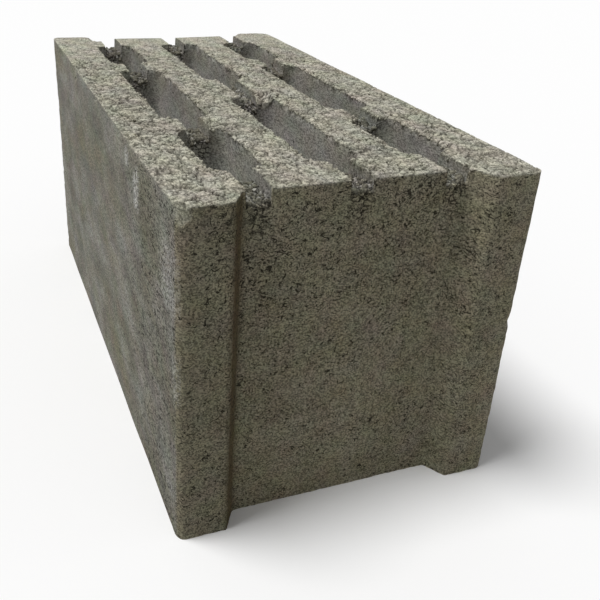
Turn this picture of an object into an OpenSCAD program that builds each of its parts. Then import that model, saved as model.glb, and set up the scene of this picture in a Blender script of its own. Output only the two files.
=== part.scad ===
// Slotted hollow concrete block with a mortar pocket in each end.
// Lengths are in millimetres. X runs along the block, Y across it and Z up.
// The origin is the middle of the closed bed face that the block stands on.

/* [Block] */
// Length of the block over its end lips
block_length = 490; // [440:1:600]
// Width of the block over its two long faces
block_width = 240; // [215:1:300]
// Height from one bed face to the other
block_height = 238; // [150:1:260]
// Radius of the four upright outer edges
edge_radius = 7; // [2:0.5:12]

/* [Mortar pockets] */
// Depth of the pocket in each end
pocket_depth = 16; // [10:0.5:24]
// Width of the flat lip on either side of a pocket
lip_width = 34; // [22:1:50]
// Distance across the block taken by a pocket's sloping flank
flank_run = 9.5; // [4:0.5:16]
// Radius where a flank meets its lip and the pocket's face
flank_radius = 4; // [1:0.5:6]

/* [Slots] */
// Width of a slot at the open bed face
slot_width = 35; // [25:0.5:40]
// Radius of a slot's upright corners at the open bed face
slot_radius = 10; // [5:0.5:12]
// Thickness of the two outer shells
shell_wall = 36; // [28:0.5:45]
// Thickness from a slot to the face of the pocket
end_wall = 36; // [25:0.5:50]
// Length of the middle slot in the outer rows
centre_slot = 158; // [120:1:180]
// Thickness of the two webs in the outer rows
outer_web = 29; // [20:0.5:40]
// Thickness of the web in the middle row
middle_web = 60; // [30:1:80]
// Thickness of the closed cover under the slots
cover = 20; // [12:0.5:30]
// Amount by which each wall of a slot leans inward from top to bottom
core_draft = 1.5; // [0.5:0.1:3]

/* [Core bar grooves] */
// Width of the groove that a core bar leaves along each row
groove_width = 16.5; // [8:0.5:20]
// Depth of the groove below the open bed face
groove_depth = 8; // [4:0.5:14]

/* [Hidden] */
$fn = 48;
// Overshoot of a cut past the surface it opens
over = 2;
// Amount by which a rounding arc crosses the edges that it joins
bite = 0.01;
row_pitch = block_width / 2 - shell_wall - slot_width / 2;
slot_depth = block_height - cover;
slots_end = block_length / 2 - pocket_depth - end_wall;
side_slot = slots_end - centre_slot / 2 - outer_web;
half_slot = slots_end - middle_web / 2;
flank_length = norm([pocket_depth, flank_run]);
flank_lean = [pocket_depth, flank_run] / flank_length;

// What is cut off a corner to round it, reaching past the corner's edges.
// The edges leave the corner along the unit vectors u and v.
module corner_cut(corner, u, v, radius) {
    half_angle = acos(u * v) / 2;
    tangent = radius / tan(half_angle);
    centre = corner + (u + v) / norm(u + v) * radius / sin(half_angle);
    reach = 1 + over / radius;
    difference() {
        polygon([
            centre,
            centre + (corner + u * tangent - centre) * reach,
            centre + (corner - centre) * reach,
            centre + (corner + v * tangent - centre) * reach
        ]);
        // Moved a hair towards the corner, so that the arc crosses the edges and isn't just touching
        translate(centre - bite * (u + v) / norm(u + v)) circle(radius);
    }
}

// Plan of the right-hand mortar pocket, open beyond the block's end
module pocket_plan() {
    lip = [block_length / 2, block_width / 2 - lip_width];
    root = lip - [pocket_depth, flank_run];
    mouth = lip + over * [pocket_depth, flank_run] / pocket_depth;
    difference() {
        polygon([root, mouth, [mouth.x, -mouth.y], [root.x, -root.y]]);
        for (side = [0, 1])
            mirror([0, side])
                corner_cut(root, flank_lean, [0, -1], flank_radius);
    }
}

// Plan of the whole block without its slots
module block_plan() {
    corner = [block_length, block_width] / 2;
    difference() {
        square(2 * corner, center = true);
        for (end = [0, 1])
            mirror([end, 0]) {
                pocket_plan();
                for (side = [0, 1])
                    mirror([0, side]) {
                        corner_cut(corner, [-1, 0], [0, -1], edge_radius);
                        corner_cut(corner - [0, lip_width], [0, 1], -flank_lean, flank_radius);
                    }
            }
    }
}

// Upright wedge along X whose two sides lean in by the core's draft towards its foot
module drafted_wall(length, head_width) {
    lean = core_draft * (1 + over / slot_depth);
    foot = head_width / 2 - core_draft;
    rotate([90, 0, 90])
        linear_extrude(length, center = true)
            polygon([
                [-foot, cover],
                [foot, cover],
                [foot + lean, block_height + over],
                [-foot - lean, block_height + over]
            ]);
}

// Core that leaves one slot, with its corners as cones
module slot_core(length) {
    straight_x = length - 2 * slot_radius;
    straight_y = slot_width - 2 * slot_radius;
    lean = core_draft * (1 + over / slot_depth);
    foot_radius = slot_radius - core_draft;
    drafted_wall(straight_x, slot_width);
    rotate(90) drafted_wall(straight_y, length);
    for (x = [-straight_x / 2, straight_x / 2])
        for (y = [-straight_y / 2, straight_y / 2])
            translate([x, y, cover])
                cylinder(h = slot_depth + over, r1 = foot_radius, r2 = foot_radius + lean);
}

// Cores of an outer row: a long slot between two short ones
module outer_row() {
    slot_core(centre_slot);
    for (side = [-1, 1])
        translate([side * (slots_end - side_slot / 2), 0, 0])
            slot_core(side_slot);
}

// Cores of the middle row: two slots on either side of a thick web
module middle_row() {
    for (side = [-1, 1])
        translate([side * (slots_end - half_slot / 2), 0, 0])
            slot_core(half_slot);
}

// Channel that the bar holding a row of cores leaves in the open bed face
module bar_groove() {
    translate([-block_length / 2, -groove_width / 2, block_height - groove_depth])
        cube([block_length, groove_width, groove_depth + over]);
}

// Cast body with its pockets, slots and grooves
module concrete_block() {
    color("#8c8b84")
        difference() {
            linear_extrude(block_height) block_plan();
            middle_row();
            bar_groove();
            for (row = [-row_pitch, row_pitch])
                translate([0, row, 0]) {
                    outer_row();
                    bar_groove();
                }
        }
}

concrete_block();
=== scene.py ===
"""Looks of a slotted hollow concrete block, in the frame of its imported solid.

The casting is drawn as a body of upright walls and four strips of the tamped bed, which are gridded
finely enough to carry the bed's lumps. Loose grains lie on the bed and in its grooves.
"""

import math

import bpy
import numpy as np
from mathutils import Matrix, Vector
from mathutils.geometry import delaunay_2d_cdt


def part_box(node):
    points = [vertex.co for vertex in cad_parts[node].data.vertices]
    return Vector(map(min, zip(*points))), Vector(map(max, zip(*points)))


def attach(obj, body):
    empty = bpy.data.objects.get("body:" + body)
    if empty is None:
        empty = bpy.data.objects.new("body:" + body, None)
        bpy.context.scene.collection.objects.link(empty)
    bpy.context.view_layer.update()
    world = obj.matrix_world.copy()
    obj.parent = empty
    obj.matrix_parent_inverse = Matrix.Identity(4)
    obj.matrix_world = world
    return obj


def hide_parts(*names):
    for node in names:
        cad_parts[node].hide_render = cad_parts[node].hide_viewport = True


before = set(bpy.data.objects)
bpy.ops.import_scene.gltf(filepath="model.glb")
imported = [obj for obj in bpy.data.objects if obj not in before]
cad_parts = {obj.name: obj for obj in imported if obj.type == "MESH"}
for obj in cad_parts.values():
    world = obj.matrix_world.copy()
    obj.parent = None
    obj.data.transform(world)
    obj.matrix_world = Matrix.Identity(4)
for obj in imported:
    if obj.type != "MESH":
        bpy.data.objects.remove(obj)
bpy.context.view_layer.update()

# Sizes of the solid, in millimetres
MM = 0.001
LOW, HIGH = (np.array(corner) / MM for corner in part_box("concrete_block"))
LENGTH, WIDTH, HEIGHT = HIGH - LOW
EDGE_RADIUS = 7.0
POCKET_DEPTH = 16.0
LIP_WIDTH = 34.0
FLANK_RUN = 9.5
SLOT_WIDTH = 35.0
SLOT_RADIUS = 10.0
SHELL_WALL = 36.0
END_WALL = 36.0
CENTRE_SLOT = 158.0
OUTER_WEB = 29.0
MIDDLE_WEB = 60.0
COVER = 20.0
CORE_DRAFT = 1.5
GROOVE_WIDTH = 16.5
GROOVE_DEPTH = 8.0
# Rounding of a flank's two bends, and the lean of a groove's sides, which the solid has upright
FLANK_RADIUS = 3.0
GROOVE_LEAN = 0.45

ROW_PITCH = WIDTH / 2 - SHELL_WALL - SLOT_WIDTH / 2
POCKET_FLOOR = LENGTH / 2 - POCKET_DEPTH
POCKET_HALF = WIDTH / 2 - LIP_WIDTH - FLANK_RUN
SLOTS_END = POCKET_FLOOR - END_WALL
SIDE_SLOT = SLOTS_END - CENTRE_SLOT / 2 - OUTER_WEB
HALF_SLOT = SLOTS_END - MIDDLE_WEB / 2
ROWS = np.array([-ROW_PITCH, 0.0, ROW_PITCH])
# Middle of each slot along X and Y, and half its length
SLOTS = np.array(
    [[side * (SLOTS_END - HALF_SLOT / 2), 0.0, HALF_SLOT / 2] for side in (-1, 1)]
    + [[0.0, row, CENTRE_SLOT / 2] for row in ROWS[[0, 2]]]
    + [
        [side * (SLOTS_END - SIDE_SLOT / 2), row, SIDE_SLOT / 2]
        for row in ROWS[[0, 2]]
        for side in (-1, 1)
    ]
)

# Cell of the bed's grid, and how far down the strips of the bed reach into the body
CELL = 0.62
STRIP_DEPTH = 18.0
STRIP_LEVELS = np.array([0.7, 1.5, 2.4, 3.4, 4.6, 6.0, 7.6, 9.4, 11.4, 13.5, 15.7, STRIP_DEPTH])
OVERLAP = 2.0
# Steps along and down the walls of the body
END_STEP = 1.25
SIDE_STEP = 4.0
SLOT_STEP = 2.5
ARC_STEP = 1.2
FACE_STEP = 1.85
SLOT_LEVELS = 11
# Scale of the material's patterns along the long faces and upwards
LONG_DRAW = 0.65
TAMPED = 1.25
# Lumps of the bed: their two sizes, the crevice between two of them as a share of a size, its
# depth on the bed and on a groove's floor, and how far anything may stand above the solid
COARSE_LUMP = 7.6
FINE_LUMP = 3.6
CREVICE = 0.26
BED_RELIEF = 2.1
FLOOR_RELIEF = 3.0
PROUD = 0.6
# Loose concrete under a groove: its reach to either side and its depth
LOOSE_REACH = 12.5
LOOSE_DEPTH = 50.0
# Distance over which a wall's facing fades into the bed, and within which a point is on a face
RIM_FADE = 2.5
ON_FACE = 2.0
# Distance over which a scuff's ends fade
SCUFF_FADE = 4.0
# Loose grains: how many, and the seed of their draws
GRAINS = 1800
GRAIN_SEED = 7
# Round floor: its radius in metres and its sides
FLOOR_RADIUS = 4.0
FLOOR_SIDES = 96
# Factors that mix a cell's three indices and its seed, and the shifts and factors of each round
HASH_AXES = (73856093, 19349663, 83492791)
HASH_SEED, HASH_START = 40503, 2166136261
HASH_ROUNDS = ((16, 2146121005), (15, 2221713035), (16, 1))

# Broken places on the edges: middle, reach and depth
CHIPS = np.array(
    [
        [LENGTH / 2, -WIDTH / 2, HEIGHT, 10.0, 4.0],
        [LENGTH / 2, WIDTH / 2, 128.0, 6.0, 1.8],
        [-LENGTH / 2, -WIDTH / 2, 162.0, 5.0, 1.6],
        [-98.0, -WIDTH / 2, HEIGHT, 12.0, 2.6],
        [7.0, -WIDTH / 2, HEIGHT, 8.0, 2.4],
        [-POCKET_FLOOR, -ROW_PITCH - GROOVE_WIDTH / 2, HEIGHT, 14.0, 5.0],
        [MIDDLE_WEB / 2, GROOVE_WIDTH / 2, HEIGHT, 13.0, 6.0],
        [-LENGTH / 2, WIDTH / 2, HEIGHT, 9.0, 3.0],
    ]
)

# Pale scuffs on the front: place along X, spread, lowest and highest point, and strength
SCUFFS = np.array(
    [
        [121.0, 5.0, 219.0, 232.0, 0.9],
        [146.0, 6.0, 198.0, 222.0, 1.0],
        [153.0, 4.0, 212.0, 228.0, 0.9],
        [228.0, 17.0, 168.0, 208.0, 0.4],
        [240.0, 9.0, 108.0, 140.0, 0.3],
    ]
)


def hashed(cell, seed):
    """Random number from 0 to 1 for each whole-number cell, mixed from its indices and the seed."""
    index = cell.astype(np.int64).astype(np.uint32)
    mixed = np.full(index.shape[:-1], seed * HASH_SEED + HASH_START, np.uint32)
    for axis, factor in enumerate(HASH_AXES):
        mixed ^= index[..., axis] * np.uint32(factor)
    for shift, factor in HASH_ROUNDS:
        mixed ^= mixed >> np.uint32(shift)
        mixed *= np.uint32(factor)
    return mixed / 2.0**32


def noise(points, size, seed):
    """Value noise from -1 to 1: random lattice values, blended by a smooth step along each axis."""
    scaled = points / size
    base = np.floor(scaled)
    share = scaled - base
    share = share * share * (3 - 2 * share)
    total = np.zeros(len(points))
    for corner in np.ndindex(2, 2, 2):
        weight = np.prod(np.where(corner, share, 1 - share), axis=1)
        total += weight * hashed(base + corner, seed)
    return 2 * total - 1


def lumps(points, size, seed):
    """Packed lumps around random lattice points, each place belonging to the nearest of them.

    Gives how deep a place lies in the crevice between two lumps, which is 1 where the nearest and
    the next are equally far, and a random number of its own for each lump.
    """
    scaled = points / size
    base = np.floor(scaled)
    first, second = np.full((2, len(points)), np.inf)
    tone = np.zeros(len(points))
    for step in np.ndindex(3, 3, 3):
        cell = base + np.array(step) - 1
        spot = cell + np.stack([hashed(cell, seed + axis) for axis in range(3)], axis=1)
        far = np.linalg.norm(scaled - spot, axis=1)
        closer = far < first
        second = np.where(closer, first, np.minimum(second, far))
        tone = np.where(closer, hashed(cell, seed + 5), tone)
        first = np.where(closer, far, first)
    return 1 - ramp(second - first, 0.0, CREVICE), tone


def ramp(value, low, high):
    """Smooth step of value from 0 at low to 1 at high."""
    share = np.clip((value - low) / (high - low), 0, 1)
    return share * share * (3 - 2 * share)


def blend_max(a, b, radius):
    """Larger of two distances, with the crease between them rounded over the radius."""
    near = np.maximum(radius - np.abs(a - b), 0) / radius
    return np.maximum(a, b) + near * near * radius / 4


def round_box_gap(x, y, half_x, half_y, radius):
    """Distance from a rectangle with round corners about the origin, negative inside it."""
    reach_x = np.abs(x) - half_x + radius
    reach_y = np.abs(y) - half_y + radius
    outside = np.hypot(np.maximum(reach_x, 0), np.maximum(reach_y, 0))
    return outside + np.minimum(np.maximum(reach_x, reach_y), 0) - radius


def slot_gap(x, y):
    """Distance from the nearest slot's outline, negative inside it."""
    from_x, from_y = x - SLOTS[:, 0, None], y - SLOTS[:, 1, None]
    return round_box_gap(from_x, from_y, SLOTS[:, 2, None], SLOT_WIDTH / 2, SLOT_RADIUS).min(axis=0)


def edge_gap(x, y):
    """Distance inwards from the block's outline: a round-cornered rectangle less two pockets."""
    box = round_box_gap(x, y, LENGTH / 2, WIDTH / 2, EDGE_RADIUS)
    beyond = np.abs(x) - POCKET_FLOOR
    across = np.abs(y) - POCKET_HALF
    within = (beyond * FLANK_RUN - across * POCKET_DEPTH) / np.hypot(POCKET_DEPTH, FLANK_RUN)
    pocket = -blend_max(-beyond, -within, FLANK_RADIUS)
    return -blend_max(box, pocket, FLANK_RADIUS)


def wall_gap(x, y):
    """Distance inside the concrete from its nearest upright wall."""
    return np.minimum(slot_gap(x, y), edge_gap(x, y))


def wall_normal(x, y):
    """Unit vector out of the concrete at a wall, down the slope of the distance inside it."""
    step = 0.05
    slope_x = wall_gap(x + step, y) - wall_gap(x - step, y)
    slope_y = wall_gap(x, y + step) - wall_gap(x, y - step)
    size = np.maximum(np.hypot(slope_x, slope_y), 1e-9)
    return np.stack([-slope_x / size, -slope_y / size, np.zeros_like(x)], axis=1)


def rim_facing(x, y):
    """The wall's outward vector at a place on the bed, fading with the distance from the wall."""
    near = np.exp(-np.maximum(wall_gap(x, y), 0) / RIM_FADE)
    return wall_normal(x, y) * near[:, None]


def groove_share(y):
    """How far down a core bar groove's side a point is, from 0 on the bed to 1 on its floor."""
    reach = np.abs(y - ROWS[:, None]).min(axis=0)
    return np.clip((GROOVE_WIDTH / 2 - reach) / GROOVE_LEAN, 0, 1)


def openness(x, y):
    """Share of the bed's texture that stands open: least at the left end, and in patches."""
    place = np.stack([x, y, np.zeros_like(x)], axis=1)
    return np.clip(0.2 + 0.72 * ramp(x, -225, -70) + 0.22 * noise(place, 34.0, 3), 0.15, 1)


def crust(points):
    """Depth between the bed's lumps, from 0 on a pressed top to 1 in a crevice, and their tone.

    Lumps of two sizes, each at a height of its own, are added in a place that is bent by noise, and
    are cut off level where the tamper has pressed them.
    """
    bend = np.stack([noise(points, 5.0, seed) for seed in (12, 13, 14)], axis=1)
    twist = np.stack([noise(points, 2.2, seed) for seed in (15, 16, 17)], axis=1)
    bent = (points + 2.2 * bend + 0.95 * twist) * [1.25, 0.9, 1.0]
    coarse, coarse_tone = lumps(bent, COARSE_LUMP, 11)
    fine, fine_tone = lumps(bent, FINE_LUMP, 21)
    height = 0.66 * (1 - coarse) * (0.3 + 0.7 * coarse_tone)
    height += 0.34 * (1 - fine) * (0.3 + 0.7 * fine_tone)
    return 1 - ramp(height, 0.0, 0.44), 0.5 * (coarse_tone + fine_tone)


def bed(x, y):
    """Height of the tamped bed and of the groove floors, the painted shade of each place, and its
    tone.

    The bed sinks between its lumps and wears down towards every free edge, most along the slots.
    The floor of a groove is looser, so its lumps stand further apart in height.
    """
    place = np.stack([x, y, np.zeros_like(x)], axis=1)
    groove = groove_share(y)
    slots, outline = np.maximum(slot_gap(x, y), 0), np.maximum(edge_gap(x, y), 0)
    depth, tone = crust(place)
    free = openness(x, y) * (1 - 0.65 * np.exp(-outline / 2.5))
    worn = np.exp(-slots / 2.2) * (0.3 + 1.1 * tone) + 0.7 * np.exp(-outline / 1.2)
    top = -BED_RELIEF * free * depth + 0.4 * noise(place, 30.0, 5) - worn
    floor = -FLOOR_RELIEF * depth + 2.0 * noise(place, 9.0, 6)
    floor -= 2.5 * np.exp(-np.minimum(slots, outline) / 4.0)
    height = HEIGHT + (1 - groove) * top + groove * (floor - GROOVE_DEPTH)
    on_wall = (groove > 0) & (groove < 1)
    # Painted shade by the depth between lumps, even on the groove walls and deeper on the groove
    # floors
    painted_shade_and_lip_tone = np.where(on_wall, 0.25, np.maximum(free * depth, groove * (0.28 + 0.62 * depth)))
    return height, painted_shade_and_lip_tone, np.where(on_wall, 0.5, tone)


def loose_share(points, depth):
    """How loose an end or a web is below a groove, fading downwards and to either side."""
    reach = np.abs(points[:, 1] - ROWS[:, None]).min(axis=0)
    ragged = 4.0 * noise(points, 9.0, 62)
    across = ramp(LOOSE_REACH - 0.17 * depth - reach + ragged, 0, 6)
    return across * ramp(LOOSE_DEPTH - depth, 0, 30) * (depth > 0)


def chip_bowls(points):
    """How deep in each chip's bowl a point is, from 0 at its ragged reach to 1 in its middle."""
    far = np.linalg.norm(points - CHIPS[:, None, :3], axis=2) / CHIPS[:, None, 3]
    return np.clip(1 - (far * (1 + 0.35 * noise(points, 4.5, 71))) ** 2, 0, 1)


def weathered(points, outward, depth):
    """Points of the cast faces moved by their wave, their ragged rims, loose places and the chips.

    A face waves slightly along its outward direction. Within a few millimetres of the bed it turns
    ragged, by noise that fades with depth and is strong only along the slots.
    """
    slots = np.exp(-np.abs(slot_gap(points[:, 0], points[:, 1])) / 3.0)
    ragged = 1.1 * noise(points, 5.5, 51) + 0.7 * noise(points, 2.8, 52) - 0.3
    wave = 0.35 * noise(points, 55.0, 53) - 0.15
    rough = 0.3 * noise(points, 5.0, 55) + 0.2 * noise(points, 3.0, 56)
    at_end = ramp(np.abs(points[:, 0]), POCKET_FLOOR - 3, POCKET_FLOOR)
    side = wave + ragged * (0.12 + 0.88 * slots) * np.exp(-depth / 4.0) + rough * at_end
    side -= loose_share(points, depth) * crust(points)[0]
    moved = points + outward * side[:, None]
    inward = (np.array([0.0, 0.0, 0.55 * HEIGHT]) - CHIPS[:, :3]) * [0.25, 1.0, 1.0]
    inward *= (CHIPS[:, 4] / np.linalg.norm(inward, axis=1))[:, None]
    moved += np.einsum("cp,ci->pi", chip_bowls(points), inward)
    moved[:, 2] = np.clip(moved[:, 2], 0, HEIGHT + PROUD)
    return moved


def surface_values(points, outward, depth, top):
    """What the material reads at each point, mostly as a share from 0 to 1.

    place is where its patterns are read. bed marks the tamped top and broken places, end the two
    end faces, porous the open pores, dirt the painted shade, tinted brown, on the left flank of a
    pocket, which faces away from the sun, cored the slots' walls, loose the crumbling places, sunk
    the painted shade between lumps and in the grooves together with a darker tone on the front
    lips, tone a lump's own shade and scuff the pale marks on the front. The first rows of sunk and
    tone are the bed's own, given as top.
    """
    x, y, z = points.T
    front = y < 3 - WIDTH / 2
    inner = np.abs(y) < WIDTH / 2 - LIP_WIDTH / 2
    in_slot = slot_gap(x, y) < ON_FACE
    at_end = ramp(np.abs(x), POCKET_FLOOR - 6, POCKET_FLOOR - 1) * (edge_gap(x, y) < ON_FACE)
    groove, on_top = groove_share(y), depth == 0
    groove_wall = (groove > 0) & (groove < 1) & on_top
    fresh = 0.45 * chip_bowls(points).max(axis=0) ** 0.5 * (groove == 0)
    on_bed = np.maximum(np.exp(-depth) * (1 - 0.9 * groove * on_top) * ~groove_wall, fresh)
    end = at_end * np.maximum(inner, ramp(np.abs(outward[:, 0]), 0.15, 0.55)) * (1 - on_bed)
    bands = 0.5 + 0.5 * noise(points * [0.3, 0.3, 1.0], 13.0, 61)
    on_end = np.where(inner, 0.34 + 0.44 * bands * np.exp(-depth / 300), 0.66 * bands)
    on_side = 0.15 + 0.45 * ramp(x, 20, LENGTH / 2 - 30) * front
    loose = loose_share(points, depth)
    depths, tones = crust(points)
    # Painted shade in the crevices of loose places, and the lips on the front a shade darker in
    # tone
    painted_shade_and_lip_tone = 0.12 * loose * depths + 0.16 * end * (y < LIP_WIDTH - WIDTH / 2)
    tone = 0.5 + loose * (tones - 0.5)
    painted_shade_and_lip_tone[: len(top[0])], tone[: len(top[0])] = top
    middle, spread, low, high, strength = SCUFFS.T[..., None]
    drip = strength * np.exp(-(((x - middle) / spread) ** 2))
    drip *= ramp(z, low - SCUFF_FADE, low + SCUFF_FADE)
    drip *= 1 - ramp(z, high - SCUFF_FADE, high + SCUFF_FADE)
    cored = np.where(on_top, 0.8 * groove, in_slot * (0.25 + 0.75 * ramp(depth, 4, 50)))
    return {
        "place": pattern_place(points),
        "bed": on_bed,
        "end": end,
        "porous": (end * on_end + (1 - end) * on_side) * (1 - on_bed) * (1 - 0.4 * loose),
        # Painted shade, tinted brown, on a pocket's left flank, which faces away from the sun
        "painted_flank_shade": at_end * inner * np.clip(outward[:, 1], 0, 1) * (1 - on_bed),
        "cored": np.maximum(cored, 0.8 * loose * in_slot) * (1 - on_bed),
        "loose": np.maximum(loose, 0.8 * (groove == 1) * on_top),
        "painted_shade_and_lip_tone": painted_shade_and_lip_tone,
        "tone": tone,
        "scuff": drip.max(axis=0) * front * (1 - on_bed),
    }


def pattern_place(points):
    """Place in metres at which the material's patterns are read.

    It is drawn out along X between the ends and packed closer upwards, as the mix is tamped.
    """
    x, y, z = points.T
    beyond = np.maximum(np.abs(x) - POCKET_FLOOR + 6, 0) * np.sign(x)
    return np.column_stack([LONG_DRAW * x + (1 - LONG_DRAW) * beyond, y, TAMPED * z]) * MM


def lines_through(stops, step):
    """Grid lines through every stop, evenly spread between two stops at about one step."""
    stops = np.unique(np.round(stops, 4))
    spans = [
        np.linspace(low, high, max(1, round((high - low) / step)), endpoint=False)
        for low, high in zip(stops[:-1], stops[1:])
    ]
    return np.concatenate(spans + [stops[-1:]])


def free_edges(cells):
    """Directed edges of the cells that no other cell shares."""
    edges = np.stack([cells, np.roll(cells, -1, axis=1)], axis=2).reshape(-1, 2)
    count = edges.max() + 1
    there, back = edges @ [count, 1], edges @ [1, count]
    return edges[~np.isin(there, back)]


def bed_grid(low_y, high_y):
    """Plan of the bed between two values of Y, as grid points, cells on concrete and free edges.

    Grid lines run through every straight edge, and points on a free edge are moved onto the
    outline along the slope of the distance to it, unless they lie on the cut between two strips.
    """
    x_stops = [0, MIDDLE_WEB / 2, CENTRE_SLOT / 2, CENTRE_SLOT / 2 + OUTER_WEB, SLOTS_END]
    x_stops += [POCKET_FLOOR, LENGTH / 2]
    y_stops = [low_y, high_y]
    for row in ROWS:
        for reach in (SLOT_WIDTH / 2, *(GROOVE_WIDTH / 2 - GROOVE_LEAN * np.arange(4) / 3)):
            y_stops += [row - reach, row + reach]
    y_stops = [stop for stop in y_stops if low_y <= stop <= high_y]
    x = lines_through(np.concatenate([x_stops, np.negative(x_stops)]), CELL)
    y = lines_through(y_stops, CELL)
    plan = np.stack(np.meshgrid(x, y, indexing="ij"), axis=2).reshape(-1, 2)
    corner = (np.arange(len(x) - 1)[:, None] * len(y) + np.arange(len(y) - 1)).ravel()
    cells = np.stack([corner, corner + len(y), corner + len(y) + 1, corner + 1], axis=1)
    cells = cells[wall_gap(*plan[cells].mean(axis=1).T) > 0]
    used, cells = np.unique(cells, return_inverse=True)
    plan, cells = plan[used], cells.reshape(-1, 4)
    edges = free_edges(cells)
    rim = np.unique(edges)
    rim = rim[wall_gap(*plan[rim].T) < 0.9 * CELL]
    for _ in range(4):
        out = wall_normal(*plan[rim].T)[:, :2]
        plan[rim] += out * wall_gap(*plan[rim].T)[:, None]
    return plan, cells, edges


def swept(edges, rows):
    """Quads that join successive rows of indices along the edges, facing out of the concrete."""
    return np.concatenate(
        [
            np.stack([a[edges[:, 1]], a[edges[:, 0]], b[edges[:, 0]], b[edges[:, 1]]], axis=1)
            for a, b in zip(rows[:-1], rows[1:])
        ]
    )


def filled(plan, rings):
    """Triangles of a flat face inside the first ring of edges and outside the others, facing up.

    A Delaunay plan is drawn through the rings' points and edges. The other rings are convex, so a
    triangle with all its corners on one of them lies inside that ring and is left out.
    """
    edges = np.concatenate(rings)
    owner = np.repeat(np.arange(len(rings)), [len(ring) for ring in rings])
    used, first, local = np.unique(edges, return_index=True, return_inverse=True)
    points = [Vector(point) for point in plan[used]]
    found = delaunay_2d_cdt(points, local.reshape(-1, 2).tolist(), [], 1, 1e-7)
    source = np.array([origin[0] for origin in found[3]])
    faces = source[np.array(found[2])]
    ring = owner[first // 2][faces]
    hole = (ring.min(axis=1) == ring.max(axis=1)) & (ring[:, 0] > 0)
    return used[faces[~hole]]


def mesh_object(name, points, faces, values):
    """Mesh object in metres from points in millimetres, with a point attribute for each value."""
    mesh = bpy.data.meshes.new(name)
    mesh.from_pydata(points * MM, [], [face for group in faces for face in group.tolist()])
    for key, value in values.items():
        kind, field = ("FLOAT", "value") if value.ndim == 1 else ("FLOAT_VECTOR", "vector")
        layer = mesh.attributes.new(key, kind, "POINT")
        layer.data.foreach_set(field, value.astype(np.float32).ravel())
    mesh.shade_smooth()
    mesh.set_sharp_from_angle(angle=math.radians(70))
    piece = bpy.data.objects.new(name, mesh)
    bpy.context.scene.collection.objects.link(piece)
    return piece


def make_strip(name, low_y, high_y):
    """One strip of the bed between two cuts along the slot rows, with the top of its walls."""
    plan, cells, edges = bed_grid(low_y, high_y)
    x, y = plan.T
    height, painted_shade_and_lip_tone, tone = bed(x, y)
    top = np.column_stack([x, y, height])
    facing = rim_facing(x, y)
    rim, local = np.unique(edges, return_inverse=True)
    local = local.reshape(-1, 2)
    clear = 0.02
    rows = np.repeat((top[rim] + clear * facing[rim])[None], len(STRIP_LEVELS), axis=0)
    rows[..., 2] += (HEIGHT - STRIP_DEPTH - rows[..., 2]) * STRIP_LEVELS[:, None] / STRIP_DEPTH
    below = len(top) + np.arange(rows.shape[0] * len(rim)).reshape(len(rows), -1)
    points = np.concatenate([top, rows.reshape(-1, 3)])
    outward = np.concatenate([facing, np.tile(facing[rim], (len(rows), 1))])
    depth = np.maximum(HEIGHT - points[:, 2], 0)
    depth[: len(top)] = 0
    values = surface_values(points, outward, depth, (painted_shade_and_lip_tone, tone))
    under = filled(points[:, :2], [below[-1][local]])[:, ::-1]
    faces = [cells, swept(local, [rim] + list(below)), under]
    return mesh_object(name, weathered(points, outward, depth), faces, values)


def round_path(corners, radii, steps):
    """Points along a closed path of straight runs joined by arcs.

    Each corner is rounded by an arc that starts and ends one tangent length from it, and each run
    is divided into even steps of its own size.
    """
    corners = np.asarray(corners, float)
    path = []
    for i, (corner, radius) in enumerate(zip(corners, radii)):
        back, ahead = corners[i - 1] - corner, corners[(i + 1) % len(corners)] - corner
        back, ahead = back / np.linalg.norm(back), ahead / np.linalg.norm(ahead)
        half = math.acos(np.clip(back @ ahead, -1, 1)) / 2
        spread = math.pi - 2 * half
        middle = (back + ahead) / np.linalg.norm(back + ahead)
        centre = corner + middle * radius / math.sin(half)
        start = corner + back * radius / math.tan(half) - centre
        finish = corner + ahead * radius / math.tan(half) - centre
        count = max(4, round(radius * spread / ARC_STEP))
        share = np.linspace(0, 1, count + 1)[:, None]
        arc = np.sin((1 - share) * spread) * start + np.sin(share * spread) * finish
        path.append(centre + arc / math.sin(spread))
    points = []
    for i, arc in enumerate(path):
        run = path[(i + 1) % len(path)][0] - arc[-1]
        count = max(1, round(np.linalg.norm(run) / steps[i]))
        share = np.arange(1, count)[:, None] / count
        points += [arc, arc[-1] + share * run]
    return np.concatenate(points)


def block_outline():
    """Outline of the block seen from above, walked with the concrete on the left."""
    upper = [[POCKET_FLOOR, POCKET_HALF], [LENGTH / 2, WIDTH / 2 - LIP_WIDTH]]
    upper += [[LENGTH / 2, WIDTH / 2]]
    right = [[x, -y] for x, y in upper[::-1]] + upper
    corners = right + [[-x, -y] for x, y in right]
    radii = [EDGE_RADIUS] + [FLANK_RADIUS] * 4 + [EDGE_RADIUS]
    steps = [END_STEP] * 5 + [SIDE_STEP]
    return round_path(corners, radii * 2, steps * 2)


def slot_outline(x, y, half_length):
    """Outline of one slot, walked the other way so that the concrete is on the left again."""
    across = SLOT_WIDTH / 2
    corners = [[x - half_length, y - across], [x - half_length, y + across]]
    corners += [[x + half_length, y + across], [x + half_length, y - across]]
    return round_path(corners, [SLOT_RADIUS] * 4, [SLOT_STEP] * 4)


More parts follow.
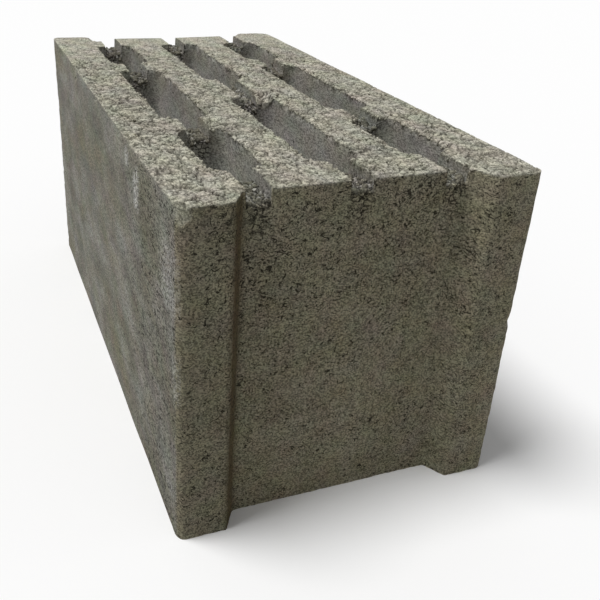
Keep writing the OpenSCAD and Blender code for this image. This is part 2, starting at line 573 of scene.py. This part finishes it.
def make_body():
    """The casting below its bed: outlines swept down to the closed bed and to the slots' floors."""
    head = HEIGHT - STRIP_DEPTH + OVERLAP
    points, outward, faces, tops, feet, count = [], [], [], [], [], 0
    for index in range(-1, len(SLOTS)):
        outer = index < 0
        plan = block_outline() if outer else slot_outline(*SLOTS[index])
        out = wall_normal(*plan.T)
        foot, draft = (0.0, 0.0) if outer else (COVER, CORE_DRAFT)
        level_count = round(head / FACE_STEP) + 1 if outer else SLOT_LEVELS
        levels = np.linspace(head, foot, level_count)
        lean = draft * (HEIGHT - levels) / (HEIGHT - COVER)
        wall = np.empty((len(levels), len(plan), 3))
        wall[..., :2] = plan + lean[:, None, None] * out[:, :2]
        wall[..., 2] = levels[:, None]
        edges = np.column_stack([np.arange(len(plan)), np.roll(np.arange(len(plan)), -1)])
        rows = count + np.arange(wall.shape[0] * len(plan)).reshape(len(levels), -1)
        faces.append(swept(edges, list(rows)))
        tops.append(rows[0][edges])
        feet.append(rows[-1][edges])
        points.append(wall.reshape(-1, 3))
        outward.append(np.tile(out, (len(levels), 1)))
        count += rows.size
    points, outward = np.concatenate(points), np.concatenate(outward)
    plan = points[:, :2]
    faces += [filled(plan, tops), filled(plan, feet[:1])[:, ::-1]]
    faces += [filled(plan, [ring]) for ring in feet[1:]]
    depth = HEIGHT - points[:, 2]
    values = surface_values(points, outward, depth, ((), ()))
    return mesh_object("cast_body", weathered(points, outward, depth), faces, values)


def make_grains(name, count, seed):
    """Grains that lie on the bed, most of them in the grooves and along the slots.

    Each is a ball over longitude and latitude, squashed along a random axis, roughened by noise
    and set partly down into the bed.
    """
    rng = np.random.default_rng(seed)
    x = rng.uniform(-POCKET_FLOOR, POCKET_FLOOR, 40 * count)
    y = rng.uniform(-WIDTH / 2, WIDTH / 2, 40 * count)
    slots, outline, groove = slot_gap(x, y), edge_gap(x, y), groove_share(y)
    chance = openness(x, y) * (0.05 + 0.5 * np.exp(-np.maximum(slots, 0) / 2.0)) + 0.5 * groove
    clear = (slots > -0.2) & (outline > 4.0 - 3.5 * groove)
    picked = np.flatnonzero(clear & (rng.uniform(0, 1, len(x)) < 0.4 * chance))[:count]
    x, y, groove = x[picked], y[picked], groove[picked]
    size = (0.8 + 1.2 * rng.beta(1.3, 3.0, len(x))) * (1 + 0.6 * groove)
    around, up = 8, 5
    turn = np.linspace(0, 2 * np.pi, around, endpoint=False)
    rise = np.linspace(-np.pi / 2, np.pi / 2, up + 2)[1:-1, None]
    ring = [np.cos(turn) * np.cos(rise), np.sin(turn) * np.cos(rise), np.sin(rise) + 0 * turn]
    ring = np.stack(ring, axis=2)
    ball = np.concatenate([[[0, 0, -1.0]], ring.reshape(-1, 3), [[0, 0, 1.0]]])
    axes = np.linalg.qr(rng.normal(size=(len(x), 3, 3)))[0]
    axes *= np.sign(np.linalg.det(axes))[:, None, None]
    squash = rng.uniform([0.9, 0.75, 0.55], [1.25, 1.0, 0.85], (len(x), 3))
    shape = (ball * squash[:, None]) @ axes * size[:, None, None]
    centre = np.column_stack([x, y, bed(x, y)[0] - 0.2 * size])
    centre = weathered(centre, rim_facing(x, y), np.zeros(len(x)))
    points = (shape + centre[:, None]).reshape(-1, 3)
    points += shape.reshape(-1, 3) * (0.3 * noise(points, 1.3, seed))[:, None]
    points[:, 2] = np.minimum(points[:, 2], HEIGHT + PROUD)
    first = 1 + around * np.arange(up)[:, None] + np.arange(around)
    after = np.roll(first, -1, axis=1)
    quads = np.stack([first[:-1], after[:-1], after[1:], first[1:]], axis=2).reshape(-1, 4)
    low_cap = np.stack([after[0], first[0], np.zeros(around, int)], axis=1)
    high_cap = np.stack([first[-1], after[-1], np.full(around, len(ball) - 1)], axis=1)
    offset = (len(ball) * np.arange(len(x)))[:, None, None]
    faces = [(part + offset).reshape(-1, part.shape[1]) for part in (quads, low_cap, high_cap)]
    absent = ("end", "porous", "painted_flank_shade", "cored", "loose", "scuff")
    values = dict.fromkeys(absent, np.zeros(len(points)))
    values["place"] = pattern_place(points)
    values["bed"] = np.ones(len(points))
    values["tone"] = np.repeat(rng.uniform(0, 1, len(x)), len(ball))
    # Painted shade on grains that lie low, in the grooves
    values["painted_shade_and_lip_tone"] = np.repeat(np.clip((HEIGHT - centre[:, 2] - 1) / 12, 0, 0.7), len(ball))
    return mesh_object(name, points, faces, values)


def linear(code):
    """Scene-linear colour of an sRGB hex code."""
    parts = [int(code[i : i + 2], 16) / 255 for i in (1, 3, 5)]
    return [p / 12.92 if p <= 0.04045 else ((p + 0.055) / 1.055) ** 2.4 for p in parts] + [1.0]


def add_node(tree, kind, inputs=None, **settings):
    """Node of a kind with its settings, each of its inputs a value or a socket to link from."""
    made = tree.nodes.new(kind)
    for key, value in settings.items():
        setattr(made, key, value)
    for key, value in (inputs or {}).items():
        if isinstance(value, bpy.types.NodeSocket):
            tree.links.new(value, made.inputs[key])
        else:
            made.inputs[key].default_value = value
    return made


def concrete_material():
    """Grey cement paste with sand grains, olive ends and stains, and painted shade in crevices,
    grooves, pores and cracks and on a pocket's flank.

    Pattern sizes are in millimetres, and the points' own values say how much of each a place has.
    """
    material = bpy.data.materials.new("cast concrete")
    material.use_nodes = True
    tree = material.node_tree
    tree.nodes.clear()
    place = add_node(tree, "ShaderNodeAttribute", attribute_name="place").outputs["Vector"]
    at = {
        name: add_node(tree, "ShaderNodeAttribute", attribute_name=name).outputs["Fac"]
        for name in ("bed", "end", "porous", "painted_flank_shade", "cored", "loose", "painted_shade_and_lip_tone", "tone", "scuff")
    }
    stretch = {"Vector": place, "Scale": (0.85, 1.0, 0.8)}
    broad = add_node(tree, "ShaderNodeMapping", stretch).outputs["Vector"]
    # Noise fields: size of a patch, detail, roughness and how far the pattern is bent
    fields = {
        "mottle": (28, 3, 0.45, 0.2),
        "cloud": (45, 3, 0.5, 0.2),
        "void": (4.0, 2, 0.55, 1.7),
        "worm": (1.7, 2, 0.5, 1.6),
        "band": (24, 3, 0.6, 0.5),
        "tooth": (1.5, 4, 0.7, 0),
        "crumb": (2.6, 3, 0.6, 0),
        "hue": (16, 2, 0.5, 0.2),
    }
    for name, (size, detail, rough, bent) in fields.items():
        inputs = {"Scale": 1 / (size * MM), "Detail": detail, "Roughness": rough}
        inputs["Distortion"] = bent
        inputs["Vector"] = broad if name in ("mottle", "cloud", "hue") else place
        found = add_node(tree, "ShaderNodeTexNoise", inputs).outputs
        at[name] = found["Color" if name == "hue" else "Fac"]
    # Cracks between lumps, along the edges of bent cells, and the shade of each sand grain
    inputs = {"Vector": place, "Scale": 1 / (3.5 * MM), "Detail": 1.0}
    drift = add_node(tree, "ShaderNodeTexNoise", inputs).outputs["Color"]
    inputs = {0: drift, 1: [2.2 * MM] * 3, 2: place}
    bent = add_node(tree, "ShaderNodeVectorMath", inputs, operation="MULTIPLY_ADD")
    inputs = {"Vector": bent.outputs["Vector"], "Scale": 1 / (4.5 * MM)}
    cells = add_node(tree, "ShaderNodeTexVoronoi", inputs, feature="DISTANCE_TO_EDGE")
    at["gap"] = cells.outputs["Distance"]
    sand = add_node(tree, "ShaderNodeTexVoronoi", {"Vector": place, "Scale": 1 / (1.0 * MM)})
    shades = add_node(tree, "ShaderNodeSeparateColor", {"Color": sand.outputs["Color"]})
    at["sand"] = shades.outputs["Red"]
    # Sums and products of two of these: how they are joined, and what is added last
    joins = {
        "open": ("MULTIPLY_ADD", "porous", 0.2, 0.272),
        "banded": ("MULTIPLY_ADD", "band", 0.2, -0.1),
        "open_here": ("ADD", "open", "banded", 0),
        "void_room": ("SUBTRACT", "open", "void", 0),
        "worm_room": ("SUBTRACT", "open_here", "worm", 0),
        "evened": ("MULTIPLY", "end", 0.65, 0),
        "soft_bed": ("MULTIPLY", "bed", 0.6, 0),
        "coarse": ("MAXIMUM", "end", "soft_bed", 0),
    }
    for name, (operation, a, b, last) in joins.items():
        inputs = {0: at[a], 1: at.get(b, b), 2: last}
        at[name] = add_node(tree, "ShaderNodeMath", inputs, operation=operation).outputs[0]
    # Smooth steps: what is read, where it starts and ends, and what it gives there
    steps = {
        "light": ("mottle", 0.25, 0.75, 0.0, 1.0),
        "stain": ("cloud", 0.42, 0.7, 0.0, 0.7),
        "voids": ("void_room", -0.012, 0.006, 0.0, 1.0),
        "worms": ("worm_room", 0.0, 0.04, 0.0, 0.9),
        "marks": ("crumb", 0.38, 0.54, 0.0, 1.0),
        "split": ("gap", 0.05, 0.12, 1.0, 0.0),
        "speckle": ("sand", 0.0, 1.0, 0.5, 1.5),
        "shade": ("tone", 0.0, 1.0, 0.8, 1.18),
        "contrast": ("coarse", 0.0, 1.0, 0.8, 0.95),
        "bite": ("coarse", 0.0, 1.0, 0.3, 0.95),
    }
    for name, (source, low, high, bottom, top) in steps.items():
        inputs = {"Value": at[source], "From Min": low, "From Max": high}
        inputs |= {"To Min": bottom, "To Max": top}
        step = add_node(tree, "ShaderNodeMapRange", inputs, interpolation_type="SMOOTHSTEP")
        at[name] = step.outputs["Result"]
    # Sums and products of the steps, as above
    joins = {
        "crumbled": ("MULTIPLY", "loose", "marks", 0),
        "broken": ("MULTIPLY", "crumbled", "split", 0),
        "torn": ("MAXIMUM", "worms", "broken", 0),
        "pits": ("MAXIMUM", "torn", "voids", 0),
        # Share of painted shade, near black, inside the pores and cracks
        "painted_pit_shade": ("MULTIPLY", "pits", 0.88, 0),
        "scuffed": ("MULTIPLY", "scuff", "marks", 0),
        "rise": ("MULTIPLY", "tooth", "bite", 0),
        "relief": ("MULTIPLY_ADD", "pits", -0.9, "rise"),
    }
    for name, (operation, a, b, last) in joins.items():
        inputs = {0: at[a], 1: at.get(b, b), 2: at.get(last, last)}
        at[name] = add_node(tree, "ShaderNodeMath", inputs, operation=operation).outputs[0]
    # Layers of colour from the paste up: blend, share and colour or field
    paste = linear("#7f7c72")
    layers = [
        ("MIX", "light", "#a4a298"),
        ("MIX", "stain", "#8a8673"),
        ("MIX", "evened", "#a7a499"),
        ("MIX", "cored", "#bcbab3"),
        ("MULTIPLY", "end", "#fffae6"),
        ("MIX", "bed", "#adaa9b"),
        ("MULTIPLY", "bed", "shade"),
        # Painted shade, tinted brown, on the pocket's left flank
        ("MULTIPLY", "painted_flank_shade", "#8c7c60"),
        ("SOFT_LIGHT", 0.15, "hue"),
        ("MIX", "scuffed", "#e2e1dd"),
        ("MULTIPLY", "contrast", "speckle"),
        # Painted shade in crevices and grooves, and the darker tone of the front lips
        ("MULTIPLY", "painted_shade_and_lip_tone", "#5d5a52"),
        # Painted shade inside pores and cracks
        ("MIX", "painted_pit_shade", "#26231c"),
    ]
    for blend, share, colour in layers:
        inputs = {0: at.get(share, share), 6: paste}
        inputs[7] = at[colour] if colour in at else linear(colour)
        layer = add_node(tree, "ShaderNodeMix", inputs, data_type="RGBA", blend_type=blend)
        paste = layer.outputs[2]
    inputs = {"Height": at["relief"], "Distance": 1.2 * MM, "Strength": 1.0}
    bump = add_node(tree, "ShaderNodeBump", inputs)
    inputs = {"Base Color": paste, "Normal": bump.outputs["Normal"]}
    inputs |= {"Roughness": 0.93, "Specular IOR Level": 0.15}
    shader = add_node(tree, "ShaderNodeBsdfPrincipled", inputs)
    add_node(tree, "ShaderNodeOutputMaterial", {"Surface": shader.outputs["BSDF"]})
    return material


def seen_rays(tree):
    """Share of rays that see a thing itself: from the camera, off a gloss or through glass."""
    rays = add_node(tree, "ShaderNodeLightPath").outputs
    seen = rays["Is Camera Ray"]
    for other in ("Is Glossy Ray", "Is Transmission Ray"):
        inputs = {0: seen, 1: rays[other]}
        seen = add_node(tree, "ShaderNodeMath", inputs, operation="MAXIMUM").outputs[0]
    return seen


def make_floor():
    """Pale round floor, white to the camera and greyer to the light that bounces off it."""
    mesh = bpy.data.meshes.new("floor")
    turn = np.linspace(0, 2 * np.pi, FLOOR_SIDES, endpoint=False)
    rim = FLOOR_RADIUS * np.column_stack([np.cos(turn), np.sin(turn), 0 * turn])
    mesh.from_pydata(rim, [], [list(range(FLOOR_SIDES))])
    paint = bpy.data.materials.new("pale floor")
    paint.use_nodes = True
    tree = paint.node_tree
    shader = tree.nodes["Principled BSDF"]
    shader.inputs["Roughness"].default_value = 1.0
    shader.inputs["Specular IOR Level"].default_value = 0.0
    inputs = {0: seen_rays(tree), 6: linear("#9a9a98"), 7: linear("#fdfdfd")}
    shade = add_node(tree, "ShaderNodeMix", inputs, data_type="RGBA").outputs[2]
    tree.links.new(shade, shader.inputs["Base Color"])
    mesh.materials.append(paint)
    floor = bpy.data.objects.new("floor", mesh)
    bpy.context.scene.collection.objects.link(floor)


def make_light():
    """Even sky, white to the camera, and one soft sun from above the long face in view."""
    world = bpy.data.worlds.new("sky")
    bpy.context.scene.world = world
    world.use_nodes = True
    tree = world.node_tree
    tree.nodes.clear()
    inputs = {0: seen_rays(tree), 6: [0.3, 0.3, 0.3, 1.0], 7: [1.0, 1.0, 1.0, 1.0]}
    shade = add_node(tree, "ShaderNodeMix", inputs, data_type="RGBA").outputs[2]
    sky = add_node(tree, "ShaderNodeBackground", {"Color": shade}).outputs["Background"]
    add_node(tree, "ShaderNodeOutputWorld", {"Surface": sky})
    lamp = bpy.data.lights.new("soft sun", "SUN")
    lamp.energy = math.pi * 0.75
    lamp.angle = math.radians(24)
    sun = bpy.data.objects.new("soft sun", lamp)
    sun.rotation_euler = Vector((-0.1, -0.35, 1.0)).to_track_quat("Z", "Y").to_euler()
    bpy.context.scene.collection.objects.link(sun)


def make_camera():
    """Camera of the photo: where it stood, the point its axis meets, its roll, lens and shift."""
    lens = bpy.data.cameras.new("camera")
    lens.sensor_width = 36.0
    lens.lens = 46.36
    lens.shift_x = 0.0706
    lens.shift_y = -0.0560
    lens.clip_start = 0.01
    station = Vector((610.4, -218.1, 392.1)) * MM
    aim = Vector((245.0, -72.1, 197.0)) * MM
    roll = math.radians(2.64)
    facing = (aim - station).to_track_quat("-Z", "Y").to_matrix().to_4x4()
    camera = bpy.data.objects.new("camera", lens)
    camera.matrix_world = Matrix.Translation(station) @ facing @ Matrix.Rotation(roll, 4, "Z")
    bpy.context.scene.collection.objects.link(camera)
    bpy.context.scene.camera = camera
    bpy.context.scene.view_settings.view_transform = "Standard"


concrete = concrete_material()
body = make_body()
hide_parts("concrete_block")
pieces = [body]
cuts = [-WIDTH / 2, *ROWS, WIDTH / 2]
for number, (low_y, high_y) in enumerate(zip(cuts[:-1], cuts[1:]), 1):
    pieces.append(make_strip(f"bed_strip_{number}", low_y, high_y))
pieces.append(make_grains("bed_grains", GRAINS, GRAIN_SEED))
for piece in pieces:
    piece.data.materials.append(concrete)
    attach(piece, "root")
make_floor()
make_light()
make_camera()
